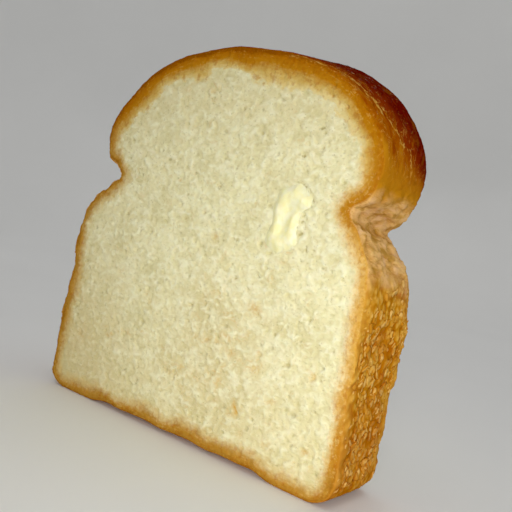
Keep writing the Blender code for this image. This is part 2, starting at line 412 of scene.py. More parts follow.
def pits(tree, place, sizes, share, radius):
    """Round pits in a share of the cells, 1 at their middle."""
    settings = {"Vector": stretch(tree, place, sizes), "Scale": 1.0, "Randomness": 1.0}
    cell = put(tree, "ShaderNodeTexVoronoi", settings)
    chosen = calc(tree, "LESS_THAN", split(tree, cell.outputs["Color"])[0], share)
    return times(tree, fade(tree, cell.outputs["Distance"], 0.3 * radius, radius, 1.0, 0.0), chosen)


def cups(tree, place, sizes, softness):
    """Rounded cells side by side, 0 at their middle and about 1 between them."""
    settings = {"Vector": stretch(tree, place, sizes), "Scale": 1.0, "Smoothness": softness}
    cell = put(tree, "ShaderNodeTexVoronoi", settings, feature="SMOOTH_F1")
    return fade(tree, cell.outputs["Distance"], 0.05, 0.75)


def crumb_relief(tree, place, sizes):
    """The height of the crumb, how deep in a pore each point lies, and how far up a lump."""
    bent = wander(tree, place, 4, 2.0)
    crowd = fade(tree, noise(tree, place, (11,) * 3), 0.42, 0.68, 0.04, 0.34)
    small = pits(tree, bent, (1.7, 2.6, 1.9), crowd, 0.40)
    large = pits(tree, bent, (4.6, 5.0, 4.0), 0.05, 0.28)
    pore = calc(tree, "MAXIMUM", small, large)
    foam = cups(tree, bent, (1.5, 2.0, 1.2), 0.5)
    lumps = noise(tree, place, (2.8, 2.4, 2.2), 4.0, 0.0, 0.65)
    fibres = noise(tree, bent, (1.2, 0.9, 0.9), 3.0, 0.8)
    height = times(tree, calc(tree, "SUBTRACT", fibres, 0.5), sizes["Fibre Height"])
    height = swing(tree, lumps, sizes["Lump Height"], height)
    height = calc(tree, "MULTIPLY_ADD", calc(tree, "SUBTRACT", foam, 0.6), sizes["Cup Depth"], height)
    height = calc(tree, "SUBTRACT", height, times(tree, pore, sizes["Pore Depth"]))
    return height, pore, swing(tree, lumps, 2.2, calc(tree, "MULTIPLY_ADD", foam, 0.5, 0.25))


print("crumb relief: cups, pores, lumps and fibres")

# %% [markdown]
# ## Relief of the crust
#
# The crust has three looks. The sides, which baked against the tin, wave a little and are pebbled with
# small blisters, longer than wide, that lean a little. The dome rose free and stayed smooth and leathery,
# but for a few fine wrinkles. Between them is the crease, where the dough stretched as it spilled over the
# tin, tore into shreds and set in soft, pale folds. Each is a texture of its own, and masks made from the
# height above the floor blend them.

# %% Crust relief
# The heights between which one part of the crust gives way to the next.
FOOT = (0 * MM, 4 * MM)
TIN_TOP = (54 * MM, 65 * MM)
CREASE_TOP = (80 * MM, 88 * MM)
DOME_START = (82 * MM, 90 * MM)


def crust_relief(tree, place, sizes):
    """The height of the crust, and how far up a blister, fold or wrinkle each point lies."""
    height_up = split(tree, place)[2]
    tin = plateau(tree, height_up, *FOOT, *TIN_TOP)
    crease = plateau(tree, height_up, *TIN_TOP, *CREASE_TOP)
    dome = fade(tree, height_up, *DOME_START)
    bent = wander(tree, tilted(tree, place, X_AXIS, 18), 5, 2.2)
    blister = calc(tree, "SUBTRACT", 1.0, cups(tree, bent, (1.9, 1.5, 2.0), 0.25))
    crags = noise(tree, bent, (3.0, 2.6, 4.0), 3.0)
    waves = noise(tree, place, (30, 18, 9), 2.0)
    folds = noise(tree, wander(tree, place, 9, 4), (6.0, 7.0, 3.4), 3.0)
    tears = noise(tree, bent, (1.3, 6.0, 1.0), 4.0, 0.6)
    folds = swing(tree, tears, 1.3, fade(tree, folds, 0.35, 0.65))
    wrinkles = noise(tree, bent, (4.5, 2.0, 3.0), 5.0, 0.7, 0.6)
    height = swing(tree, crags, sizes["Crag Height"], times(tree, blister, sizes["Blister Height"]))
    height = times(tree, swing(tree, waves, sizes["Wave Height"], height), tin)
    folding = times(tree, calc(tree, "SUBTRACT", folds, 0.5), crease)
    height = calc(tree, "MULTIPLY_ADD", folding, sizes["Fold Height"], height)
    wrinkling = times(tree, calc(tree, "SUBTRACT", wrinkles, 0.5), dome)
    height = calc(tree, "MULTIPLY_ADD", wrinkling, sizes["Wrinkle Height"], height)
    rise = calc(tree, "MULTIPLY_ADD", crags, 0.5, times(tree, blister, 0.75))
    rise = calc(tree, "MULTIPLY_ADD", folds, crease, times(tree, rise, tin))
    return height, calc(tree, "MULTIPLY_ADD", wrinkles, dome, rise)


print("crust relief: waves, blisters, folds and wrinkles")

# %% [markdown]
# ## Raise the relief
#
# One tree joins the two reliefs. It first stores what the material needs as attributes, while each point is
# still in its plain place: how deep under the crust it is, how deep in a pore, and how high on a lump or
# blister. Then a single Set Position moves the skin along its normals. Relief made of real geometry catches
# the light and casts its own small shadows, which a bump map can't do.

# %% The relief tree
RELIEF_SIZES = {
    "Fibre Height": 0.62 * MM,
    "Lump Height": 1.30 * MM,
    "Cup Depth": 0.34 * MM,
    "Pore Depth": 0.60 * MM,
    "Blister Height": 0.34 * MM,
    "Crag Height": 0.85 * MM,
    "Fold Height": 0.82 * MM,
    "Wave Height": 2.40 * MM,
    "Wrinkle Height": 0.70 * MM,
}


def store(tree, geometry, name, value, domain="POINT"):
    """Keeps a number as a named attribute."""
    settings = {"Geometry": geometry, "Name": name, "Value": value}
    node = put(tree, "GeometryNodeStoreNamedAttribute", settings, data_type="FLOAT", domain=domain)
    return node.outputs["Geometry"]


def stored(tree, name):
    """A number that was kept as a named attribute."""
    node = put(tree, "GeometryNodeInputNamedAttribute", {"Name": name}, data_type="FLOAT")
    return node.outputs["Attribute"]


def moved(tree, geometry, **where):
    """Geometry whose points are moved by an Offset or put at a Position."""
    return put(tree, "GeometryNodeSetPosition", {"Geometry": geometry, **where}).outputs[0]


def relief_tree():
    """The tree that turns the plain skin of the slice into crumb and crust."""
    sockets = [GEOMETRY, ("Crust Band", "Object", None)]
    sockets += [(name, "Float", size) for name, size in RELIEF_SIZES.items()]
    tree, given, made = new_tree("bread relief", "GeometryNodeTree", sockets, [GEOMETRY])
    place = put(tree, "GeometryNodeInputPosition").outputs[0]
    normal = put(tree, "GeometryNodeInputNormal").outputs[0]
    crust = put(tree, "GeometryNodeObjectInfo", {"Object": given["Crust Band"]}).outputs["Geometry"]
    depth = put(tree, "GeometryNodeProximity", {0: crust}, target_element="FACES").outputs["Distance"]
    facing = calc(tree, "ABSOLUTE", split(tree, normal)[1])
    pressed = fade(tree, stored(tree, "hollow"), 0.02, 0.10)
    cut = calc(tree, "MAXIMUM", fade(tree, facing, 0.45, 0.95), pressed)
    crumb_height, pore, crumb_rise = crumb_relief(tree, place, given)
    crust_height, crust_rise = crust_relief(tree, place, given)
    inner = times(tree, cut, fade(tree, depth, 0.4 * MM, 4.0 * MM, 0.6, 1.0))
    outer = calc(tree, "SUBTRACT", 1.0, cut)
    off_floor = fade(tree, split(tree, place)[2], 0.3 * MM, 3.0 * MM)
    geometry = store(tree, given["Geometry"], "crust_depth", calc(tree, "DIVIDE", depth, MM))
    geometry = store(tree, geometry, "pore", times(tree, pore, inner))
    geometry = store(tree, geometry, "rise", mix(tree, cut, crust_rise, crumb_rise))
    geometry = store(tree, geometry, "cut", cut)
    height = calc(tree, "MULTIPLY_ADD", crust_height, outer, times(tree, crumb_height, inner))
    offset = scaled(tree, normal, times(tree, height, off_floor))
    tree.links.new(moved(tree, geometry, Offset=offset), made["Geometry"])
    return tree


grow(bread, relief_tree(), crust_band=band)
print("relief raised on", len(bread.data.vertices), "points")

# %% [markdown]
# ## Keep the mesh light
#
# Small squares all over are wasteful where the skin is nearly flat. Decimate merges the points that matter
# least and keeps the rest, and the attributes come along.

# %% Thin out the skin
MOST_TRIANGLES = 190000

thin = bread.modifiers.new("thin out", "DECIMATE")
thin.ratio = min(1.0, MOST_TRIANGLES / count(bread))
settle(bread)
bread.data.shade_smooth()
print("slice:", count(bread), "triangles")
print("attributes:", [layer.name for layer in bread.data.attributes if "." not in layer.name])

# %% [markdown]
# ## The material of the bread
#
# One material covers the whole slice, because on a real one the crust fades into the crumb with no seam.
# Two shader node groups do the colouring. The crumb group mottles a cream colour, with painted highlight on
# the lumps, painted shade, olive, in the hollows and pores, and painted shade where the light falls off to
# the left, the top and the bottom. The crust group browns by height: mahogany on the back of the dome, then
# amber, pale in the crease, and golden on the sides and the foot, with painted highlight on the blisters and
# folds and painted shade between them. The attribute for the depth under the crust then mixes the two.


# %% Colours
def from_screen(red, green, blue):
    """A colour picked on screen, 0 to 255, as the linear values that shaders use."""
    values = [part / 255.0 for part in (red, green, blue)]
    linear = [value / 12.92 if value <= 0.04045 else ((value + 0.055) / 1.055) ** 2.4 for value in values]
    return (*linear, 1.0)


def tint(tree, share, first, second):
    """The colour that a Mix node gives. Its colour sockets come after the plain and vector ones."""
    return put(tree, "ShaderNodeMix", {0: share, 6: first, 7: second}, data_type="RGBA").outputs[2]


def ramp(tree, value, *stops):
    """A Color Ramp through (position, colour) stops, given in rising order."""
    node = put(tree, "ShaderNodeValToRGB", {0: value})
    elements = node.color_ramp.elements
    while len(elements) < len(stops):
        elements.new(1.0)
    for element, (position, colour) in zip(elements, stops):
        element.position = position
        element.color = colour
    return node.outputs["Color"]


CREAM = from_screen(240, 233, 186)
PALE_CREAM = from_screen(248, 245, 210)
OLIVE_CREAM = from_screen(212, 202, 148)
TAN_CREAM = from_screen(206, 184, 128)
# Olive for the crumb's grain, and for the painted shade in its pores and hollows.
GRAIN_AND_SHADE_OLIVE = from_screen(168, 154, 98)
STAIN_TAN = from_screen(214, 168, 78)
MAHOGANY = from_screen(98, 10, 2)
RUSSET = from_screen(132, 44, 2)
AMBER = from_screen(166, 88, 2)
RIM_BROWN = from_screen(146, 82, 2)
DEEP_GOLD = from_screen(178, 110, 8)
GOLDEN = from_screen(190, 129, 20)
HONEY = from_screen(211, 160, 66)
CREASE_PALE = from_screen(229, 184, 118)
CREASE_GOLD = from_screen(176, 128, 36)
CREASE_PINK = from_screen(234, 192, 146)
CREASE_BROWN = from_screen(192, 136, 54)
BLUSH = from_screen(231, 192, 118)
TAWNY = from_screen(222, 176, 94)
PALE_BLUSH = from_screen(236, 206, 142)
STRAW = from_screen(214, 180, 98)
PALE_STRAW = from_screen(230, 210, 146)
FOOT_DARK = from_screen(158, 102, 22)
FOOT_GOLD = from_screen(176, 130, 46)
FOOT_BROWN = from_screen(188, 138, 50)
FOOT_TAN = from_screen(204, 168, 98)
print("colours ready")

# %% The crumb group
TOASTY_PLACE = (0.012, -0.012, 0.030)


def crumb_group():
    """Mottled cream, with painted highlight on the lumps, painted shade in hollows and pores, and painted
    shade where the light falls off to the left, top and bottom.
    """
    sockets = [("Vector", "Vector", None)]
    sockets += [("Rise", "Float", 0.5), ("Pore", "Float", 0.0), ("Hollow", "Float", 0.0)]
    outs = [("Color", "Color", None), ("Mottle", "Float", 0.0)]
    tree, given, made = new_tree("crumb colour", "ShaderNodeTree", sockets, outs)
    place, rise, hollow = given["Vector"], given["Rise"], given["Hollow"]
    across, _, height_up = split(tree, place)
    broad = noise(tree, place, (12,) * 3, 2.0)
    patch = noise(tree, place, (6.4, 5.0, 5.0), 3.0, 0.4)
    fluff = noise(tree, place, (2.2, 1.7, 1.6), 3.0, 0.9)
    grain = noise(tree, place, (0.8, 0.6, 0.6), 3.0)
    # Painted shade: far is the falloff of the light, tan towards the left, the bottom and the top, and near
    # is where the light is full.
    far = fade(tree, across, 0 * MM, -58 * MM, 0.0, 0.40)
    far = times(tree, far, fade(tree, height_up, 16 * MM, 72 * MM, 1.25, 0.55))
    far = calc(tree, "ADD", far, fade(tree, height_up, 45 * MM, 0.0, 0.0, 0.32))
    far = calc(tree, "ADD", far, fade(tree, height_up, 76 * MM, 116 * MM, 0.0, 0.34))
    near = calc(tree, "SUBTRACT", 1.0, far)
    toasty = put(tree, "ShaderNodeVectorMath", {0: place, 1: TOASTY_PLACE}, operation="DISTANCE")
    toasty = fade(tree, toasty.outputs["Value"], 34 * MM, 6 * MM)
    colour = tint(tree, far, CREAM, TAN_CREAM)
    colour = tint(tree, fade(tree, broad, 0.40, 0.66, 0.0, 0.45), colour, OLIVE_CREAM)
    colour = tint(tree, times(tree, toasty, 0.36), colour, TAN_CREAM)
    stain = fade(tree, calc(tree, "MULTIPLY_ADD", toasty, 0.10, patch), 0.60, 0.78, 0.0, 0.42)
    colour = tint(tree, times(tree, stain, fade(tree, fluff, 0.40, 0.60)), colour, STAIN_TAN)
    # The pale patches are the crumb's own tone. Paling the lumps by their rise is painted highlight.
    for pale in (fade(tree, patch, 0.50, 0.30, 0.0, 0.50), fade(tree, rise, 0.48, 1.0, 0.0, 0.80)):
        colour = tint(tree, times(tree, near, pale), colour, PALE_CREAM)
    # Painted shade in the hollows between the lumps.
    colour = tint(tree, fade(tree, rise, 0.46, 0.0, 0.0, 0.70), colour, OLIVE_CREAM)
    colour = tint(tree, fade(tree, fluff, 0.46, 0.28, 0.0, 0.36), colour, OLIVE_CREAM)
    pale = fade(tree, fluff, 0.54, 0.72, 0.0, 0.40)
    colour = tint(tree, times(tree, near, pale), colour, PALE_CREAM)
    colour = tint(tree, fade(tree, grain, 0.40, 0.26, 0.0, 0.40), colour, GRAIN_AND_SHADE_OLIVE)
    # Painted shade in the pores, and in the hollows of the marks, broken up by the grain.
    colour = tint(tree, fade(tree, given["Pore"], 0.05, 0.9, 0.0, 0.42), colour, GRAIN_AND_SHADE_OLIVE)
    ragged = fade(tree, swing(tree, grain, 1.6, hollow), 0.15, 0.8, 0.0, 0.75)
    colour = tint(tree, times(tree, ragged, fade(tree, hollow, 0.05, 0.3)), colour, GRAIN_AND_SHADE_OLIVE)
    tree.links.new(colour, made["Color"])
    tree.links.new(grain, made["Mottle"])
    return tree


crumb_colour = crumb_group()
print("group:", crumb_colour.name)


# %% The crust's colours by height
def side_colour(tree, place, rise, broad, fine):
    """Golden blisters, honey on their tops as painted highlight and amber in the gaps as painted shade,
    paler towards both cuts and browner near the floor.
    """
    _, depthwise, height_up = split(tree, place)
    level = calc(tree, "MULTIPLY_ADD", fine, 0.35, rise)
    # Painted light by the rise of the blisters: amber shade in the gaps, honey highlight on the tops.
    side = ramp(tree, level, (0.30, AMBER), (0.60, GOLDEN), (0.95, HONEY))
    side = tint(tree, fade(tree, broad, 0.48, 0.68, 0.0, 0.45), side, AMBER)
    rim = fade(tree, calc(tree, "ABSOLUTE", depthwise), 8 * MM, 12 * MM, 0.0, 0.45)
    side = tint(tree, rim, side, HONEY)
    return tint(tree, fade(tree, height_up, 34 * MM, 8 * MM, 0.0, 0.28), side, AMBER)


def crease_colour(tree, place, rise):
    """Pale stretched dough, browner low in its folds as painted shade, with fine shreds and soft patches of
    gold and pink.
    """
    shred = noise(tree, place, (0.9, 4.0, 0.7), 4.0, 1.4, 0.6)
    # Painted shade: brown low in the folds, by their rise. The pale is the dough's own colour.
    pale = tint(tree, fade(tree, rise, -0.6, 1.1), CREASE_BROWN, CREASE_PALE)
    pale = tint(tree, fade(tree, shred, 0.52, 0.70, 0.0, 0.8), pale, BLUSH)
    pale = tint(tree, fade(tree, shred, 0.46, 0.30, 0.0, 0.7), pale, CREASE_BROWN)
    patch = noise(tree, place, (5, 6, 3.2), 3.0, 0.6)
    pale = tint(tree, fade(tree, patch, 0.50, 0.64, 0.0, 0.70), pale, CREASE_GOLD)
    return tint(tree, fade(tree, patch, 0.46, 0.34, 0.0, 0.55), pale, CREASE_PINK)


def dome_colour(tree, colour, place, dome, broad, fine):
    """Golden at the front of the dome, then amber, russet and mahogany, with peeling cracks in the crust."""
    _, depthwise, height_up = split(tree, place)
    colour = tint(tree, dome, colour, AMBER)
    above = calc(tree, "SUBTRACT", height_up, 92 * MM)
    back = swing(tree, broad, 16 * MM, calc(tree, "MULTIPLY_ADD", above, 0.5, depthwise))
    for share, brown in (
        (fade(tree, back, -7 * MM, -13 * MM, 0.0, 0.9), GOLDEN),
        (fade(tree, back, -5 * MM, 4 * MM), RUSSET),
        (fade(tree, back, 3 * MM, 12 * MM), MAHOGANY),
    ):
        colour = tint(tree, times(tree, dome, share), colour, brown)
    blotch = noise(tree, tilted(tree, place, X_AXIS, 35), (9, 3.2, 7), 4.0, 0.6, 0.6)
    front = times(tree, dome, fade(tree, back, 0 * MM, 10 * MM, 1.0, 0.30))
    light = fade(tree, blotch, 0.52, 0.68, 0.0, 0.60)
    colour = tint(tree, times(tree, front, light), colour, GOLDEN)
    dark = fade(tree, blotch, 0.46, 0.32, 0.0, 0.60)
    colour = tint(tree, times(tree, dome, dark), colour, RUSSET)
    peel = calc(tree, "ABSOLUTE", swing(tree, blotch, 9 * MM, back))
    peel = fade(tree, peel, 0.1 * MM, 0.9 * MM, 1.0, 0.0)
    crack = calc(tree, "ABSOLUTE", calc(tree, "SUBTRACT", blotch, 0.52))
    peel = calc(tree, "MAXIMUM", peel, fade(tree, crack, 0.0, 0.018, 0.8, 0.0))
    peel = times(tree, peel, fade(tree, fine, 0.38, 0.56, 0.0, 0.85))
    return tint(tree, times(tree, front, peel), colour, HONEY)


print("side, crease and dome ready")


# %% The crust group
def crust_group():
    """Brown by height, with painted highlight on the blisters and folds and painted shade in the gaps
    between them.
    """
    sockets = [("Vector", "Vector", None), ("Rise", "Float", 0.5)]
    outs = [("Color", "Color", None), ("Dome", "Float", 0.0), ("Mottle", "Float", 0.0)]
    tree, given, made = new_tree("crust colour", "ShaderNodeTree", sockets, outs)
    place, rise = given["Vector"], given["Rise"]
    broad = noise(tree, place, (12, 8, 12), 3.0)
    fine = noise(tree, place, (1.5, 1.2, 1.8), 4.0)
    wobble = swing(tree, broad, 12 * MM, split(tree, place)[2])
    side = side_colour(tree, place, rise, broad, fine)
    crease = crease_colour(tree, place, rise)
    colour = tint(tree, fade(tree, wobble, 54 * MM, 64 * MM), side, crease)
    colour = tint(tree, fade(tree, wobble, 76 * MM, 82 * MM), colour, GOLDEN)
    dome = fade(tree, wobble, 80 * MM, 93 * MM)
    colour = dome_colour(tree, colour, place, dome, broad, fine)
    tree.links.new(colour, made["Color"])
    tree.links.new(dome, made["Dome"])
    tree.links.new(fine, made["Mottle"])
    return tree


crust_colour = crust_group()
print("group:", crust_colour.name)

# %% [markdown]
# ## The browning in section
#
# On the cut face the crust shows in section: brown at the very rim, then golden, then a soft orange blush
# that fades into the cream. It is thickest over the dome, thinner below, and widens again low on the left.
# A gradient painted by hand would not follow the outline. So the depth under the crust, which the relief
# tree stored, is divided by a thickness that depends on the place, and colour ramps read the result.


# %% How thick the browning is
def crust_thickness(tree, place):
    """How many millimetres of browning the cut face shows under the crust, and where the dome is."""
    across, _, height_up = split(tree, place)
    low = fade(tree, across, -44 * MM, 30 * MM, 4.8, 5.0)
    low = times(tree, low, fade(tree, height_up, 5 * MM, 12 * MM, 1.15, 1.0))
    wide = plateau(tree, height_up, 10 * MM, 24 * MM, 44 * MM, 58 * MM)
    wide = times(tree, wide, fade(tree, across, -34 * MM, -46 * MM, 0.0, 0.45))
    low = calc(tree, "MULTIPLY_ADD", low, wide, low)
    dome = fade(tree, height_up, 78 * MM, 96 * MM)
    uneven = fade(tree, noise(tree, place, (9,) * 3, 3.0), 0.28, 0.72, 0.76, 1.26)
    return times(tree, mix(tree, dome, low, 7.6), uneven), dome


print("thickness ready")


# %% The colours of the section
def section_colour(tree, place, share, dome, speckle):
    """The browned band of the cut face, at a share of the way from the rim to the crumb."""
    across, _, height_up = split(tree, place)
    browner = fade(tree, across, 36 * MM, 8 * MM, -0.04, 0.12)
    domed = ramp(tree, calc(tree, "SUBTRACT", share, browner), (0.0, RIM_BROWN), (0.12, DEEP_GOLD),
                 (0.36, GOLDEN), (0.68, STRAW), (0.92, PALE_STRAW))
    right = ramp(tree, share, (0.0, HONEY), (0.30, TAWNY), (0.70, PALE_BLUSH))
    deep = ramp(tree, share, (0.0, DEEP_GOLD), (0.30, GOLDEN), (0.56, HONEY), (0.90, BLUSH))
    low_down = fade(tree, height_up, 42 * MM, 12 * MM, 0.0, 0.8)
    high_up = fade(tree, height_up, 65 * MM, 75 * MM, 0.0, 0.9)
    right = tint(tree, calc(tree, "MAXIMUM", low_down, high_up), right, deep)
    right = tint(tree, fade(tree, speckle, 0.50, 0.75, 0.0, 0.40), right, PALE_BLUSH)
    right = tint(tree, fade(tree, speckle, 0.48, 0.28, 0.0, 0.30), right, GOLDEN)
    left = ramp(tree, share, (0.0, FOOT_DARK), (0.24, FOOT_BROWN), (0.55, FOOT_TAN), (0.90, STRAW))
    scorch = fade(tree, noise(tree, place, (7, 9, 6), 3.0, 0.4), 0.50, 0.64, 0.0, 0.70)
    left = tint(tree, times(tree, scorch, fade(tree, share, 0.85, 0.35)), left, FOOT_GOLD)
    low_right = times(tree, fade(tree, across, 20 * MM, 46 * MM), fade(tree, height_up, 5 * MM, 14 * MM))
    return tint(tree, dome, tint(tree, low_right, left, right), domed)


print("section ready")

# %% [markdown]
# ## Put the bread material together
#
# Dry crust and crumb throw back almost no plain reflection, so the base has none, and only a few specks on
# the dome get a thin coat that glints. A little subsurface scattering lets light soften the crumb, as in
# anything full of air. A fine bump adds the grain that is too small for the mesh.


# %% The bread material
def attribute(tree, name):
    """A number that the mesh carries for each point."""
    return put(tree, "ShaderNodeAttribute", attribute_name=name).outputs["Fac"]


def new_material(name, constants):
    """A material with one Principled BSDF, some of whose inputs are set, and Object coordinates."""
    material = bpy.data.materials.new(name)
    material.use_nodes = True
    surface = material.node_tree.nodes["Principled BSDF"].inputs
    for label, value in constants.items():
        surface[label].default_value = value
    place = put(material.node_tree, "ShaderNodeTexCoord").outputs["Object"]
    return material, material.node_tree, surface, place


def use(tree, group, inputs):
    """Places a node group in a tree."""
    node = tree.nodes.new("ShaderNodeGroup")
    node.node_tree = group
    for name, value in inputs.items():
        tree.links.new(value, node.inputs[name])
    return node.outputs


def roughen(tree, surface, strength, distance, height):
    """Fine bumps that are too small for the mesh."""
    settings = {"Strength": strength, "Distance": distance, "Height": height}
    tree.links.new(put(tree, "ShaderNodeBump", settings).outputs[0], surface["Normal"])


BREAD_CONSTANTS = {
    "Coat Roughness": 0.22,
    "Subsurface Weight": 0.10,
    "Subsurface Radius": (1.0, 0.7, 0.35),
    "Subsurface Scale": 1.2 * MM,
    "Specular IOR Level": 0.0,
}


def bread_material():
    """Crumb inside, crust outside, and a blush between them."""
    material, tree, surface, place = new_material("soft bread", BREAD_CONSTANTS)
    cut, depth, rise = [attribute(tree, name) for name in ("cut", "crust_depth", "rise")]
    pore, hollow, brown = [attribute(tree, name) for name in ("pore", "hollow", "brown")]
    crumb = use(tree, crumb_colour, {"Vector": place, "Rise": rise, "Pore": pore, "Hollow": hollow})
    crust = use(tree, crust_colour, {"Vector": place, "Rise": rise})
    thickness, dome = crust_thickness(tree, place)
    across, _, height_up = split(tree, place)
    speckle = noise(tree, place, (1.0,) * 3, 4.0, 0.5, 0.6)
    layers = put(tree, "ShaderNodeCombineXYZ", {
        0: times(tree, depth, 1.6),
        1: calc(tree, "DIVIDE", across, 4 * MM),
        2: calc(tree, "DIVIDE", height_up, 4 * MM),
    }).outputs[0]
    streaks = cell_noise(tree, layers, 3.0, 0.4)
    rough_depth = swing(tree, streaks, 1.6, swing(tree, speckle, 2.4, depth))
    share = calc(tree, "DIVIDE", rough_depth, thickness)
    section = section_colour(tree, place, share, dome, speckle)
    section = tint(tree, fade(tree, crust["Mottle"], 0.48, 0.34, 0.0, 0.35), section, AMBER)
    straw = times(tree, streaks, fade(tree, speckle, 0.3, 0.6))
    section = tint(tree, fade(tree, straw, 0.50, 0.68, 0.0, 0.30), section, STRAW)
    soft = mix(tree, dome, 0.85, 0.22)
    crumbly = calc(tree, "SUBTRACT", share, calc(tree, "SUBTRACT", 1.15, soft))
    crumbly = fade(tree, calc(tree, "DIVIDE", crumbly, soft), 0.0, 1.0)
    section = tint(tree, crumbly, section, crumb["Color"])
    colour = tint(tree, fade(tree, cut, 0.15, 0.95), crust["Color"], section)
    stain = times(tree, brown, fade(tree, speckle, 0.35, 0.60, 0.4, 1.4))
    tree.links.new(tint(tree, stain, colour, STAIN_TAN), surface["Base Color"])
    inside = times(tree, cut, fade(tree, share, 0.0, 0.6))
    glaze = times(tree, crust["Dome"], calc(tree, "SUBTRACT", 1.0, inside))
    tree.links.new(fade(tree, glaze, 0.0, 1.0, 0.88, 0.60), surface["Roughness"])
    specks = fade(tree, crust["Mottle"], 0.62, 0.70, 0.0, 0.35)
    tree.links.new(times(tree, glaze, specks), surface["Coat Weight"])
    roughen(tree, surface, 0.7, 0.4 * MM, mix(tree, cut, crust["Mottle"], crumb["Mottle"]))
    return material


dress(bread, bread_material())

# %% [markdown]
# ## The butter
#
# The curl was pressed off a knife, so it has rounded ridges, fine drag lines along them, and a thin edge
# that clings to the crumb. Its solid is remeshed finely, and a stretched noise draws the lines along the
# ridges. It is moved back until it touches the crumb, because the solid had to keep a sliver of air behind
# it.

# %% Make the butter
BUTTER_STEP = 0.2 * MM
BUTTER_SIZES = {"Lump Height": 0.45 * MM, "Line Height": 0.14 * MM, "Push": 0.75 * MM}


def smear_tree():
    """Drag lines and soft lumps on the butter, which is moved back against the crumb."""
    sockets = [GEOMETRY] + [(name, "Float", size) for name, size in BUTTER_SIZES.items()]
    tree, given, made = new_tree("butter smears", "GeometryNodeTree", sockets, [GEOMETRY])
    place = put(tree, "GeometryNodeInputPosition").outputs[0]
    normal = put(tree, "GeometryNodeInputNormal").outputs[0]
    lumps = noise(tree, place, (1.9, 3.0, 2.6), 3.0, 0.8)
    lines = noise(tree, tilted(tree, place, Y_AXIS, -14), (0.8, 2.0, 5.0), 2.0, 0.8)
    height = times(tree, calc(tree, "SUBTRACT", lumps, 0.5), given["Lump Height"])
    height = swing(tree, lines, given["Line Height"], height)
    back = put(tree, "ShaderNodeCombineXYZ", {1: given["Push"]}).outputs[0]
    offset = vector_calc(tree, "ADD", scaled(tree, normal, height), back)
    tree.links.new(moved(tree, given["Geometry"], Offset=offset), made["Geometry"])
    return tree


butter = copy_node("butter_dab", "butter")
even_skin(butter, BUTTER_STEP, 5)
grow(butter, smear_tree())
butter.data.shade_smooth()
print("butter:", count(butter), "triangles")

# %% The butter material
BUTTER_YELLOW = from_screen(250, 241, 182)
BUTTER_PALE = from_screen(254, 249, 208)
BUTTER_DEEP = from_screen(236, 218, 150)
BUTTER_CONSTANTS = {
    "Subsurface Weight": 0.3,
    "Subsurface Radius": (1.0, 0.8, 0.35),
    "Subsurface Scale": 1.2 * MM,
    "Specular IOR Level": 0.4,
}


def butter_material():
    """Pale yellow, a little translucent, with a waxy shine."""
    material, tree, surface, place = new_material("butter", BUTTER_CONSTANTS)
    cloud = noise(tree, place, (2.4,) * 3, 3.0)
    streak = noise(tree, place, (0.7, 1.0, 2.8), 3.0, 0.5)
    colour = tint(tree, fade(tree, cloud, 0.35, 0.65), BUTTER_YELLOW, BUTTER_PALE)
    colour = tint(tree, fade(tree, streak, 0.55, 0.8, 0.0, 0.4), colour, BUTTER_DEEP)
    tree.links.new(colour, surface["Base Color"])
    tree.links.new(fade(tree, streak, 0.3, 0.7, 0.34, 0.52), surface["Roughness"])
    roughen(tree, surface, 0.4, 0.12 * MM, streak)
    return material


dress(butter, butter_material())

# %% [markdown]
# ## Grains and flakes of crust
#
# The sides are covered with blisters like grains of rice, and they shed thin curled flakes, a few of which
# lie on the dome. Both repeat by the hundred, so Geometry Nodes scatter them: one shape is drawn in the
# tree, points are spread over the skin, and each point gets the shape with its own size, lean and tone.
# Realize Instances makes them real geometry, which the export needs. A last noise bends every grain out of
# its perfect shape. They are bits of the same crust, so they take their colour from the crust group.
# On top of that colour, each is painted with shade where it meets the side and with a highlight on its
# crown.


# %% One grain and one flake
def block(tree, size, *cuts):
    """A box of a few faces, and where each of its points is."""
    settings = dict(zip(("Vertices X", "Vertices Y", "Vertices Z"), cuts), Size=size)
    mesh = put(tree, "GeometryNodeMeshCube", settings).outputs["Mesh"]
    return mesh, put(tree, "GeometryNodeInputPosition").outputs[0]


def round_grain(tree):
    """A grain one unit long: a small cube pulled onto a ball and flattened."""
    mesh, place = block(tree, (1.0, 1.0, 1.0), 3, 3, 3)
    ball = vector_calc(tree, "NORMALIZE", place)
    flat = vector_calc(tree, "MULTIPLY", ball, (0.5, 0.27, 0.11))
    crowned = store(tree, mesh, "crown", fade(tree, split(tree, ball)[2], 0.0, 1.0))
    return moved(tree, crowned, Position=flat)


def curled_leaf(tree):
    """A thin curled leaf one unit long, which tapers to both ends."""
    mesh, place = block(tree, (1.0, 0.55, 0.12), 4, 2, 2)
    along, across, up = split(tree, place)
    bend = times(tree, times(tree, along, along), -0.7)
    taper = calc(tree, "SUBTRACT", 1.0, times(tree, calc(tree, "ABSOLUTE", along), 1.4))
    shaped = put(tree, "ShaderNodeCombineXYZ", {
        0: along,
        1: times(tree, across, taper),
        2: calc(tree, "MULTIPLY_ADD", up, taper, bend),
    }).outputs[0]
    crowned = store(tree, mesh, "crown", times(tree, taper, 0.9))
    return moved(tree, crowned, Position=shaped)


print("one grain and one flake ready")


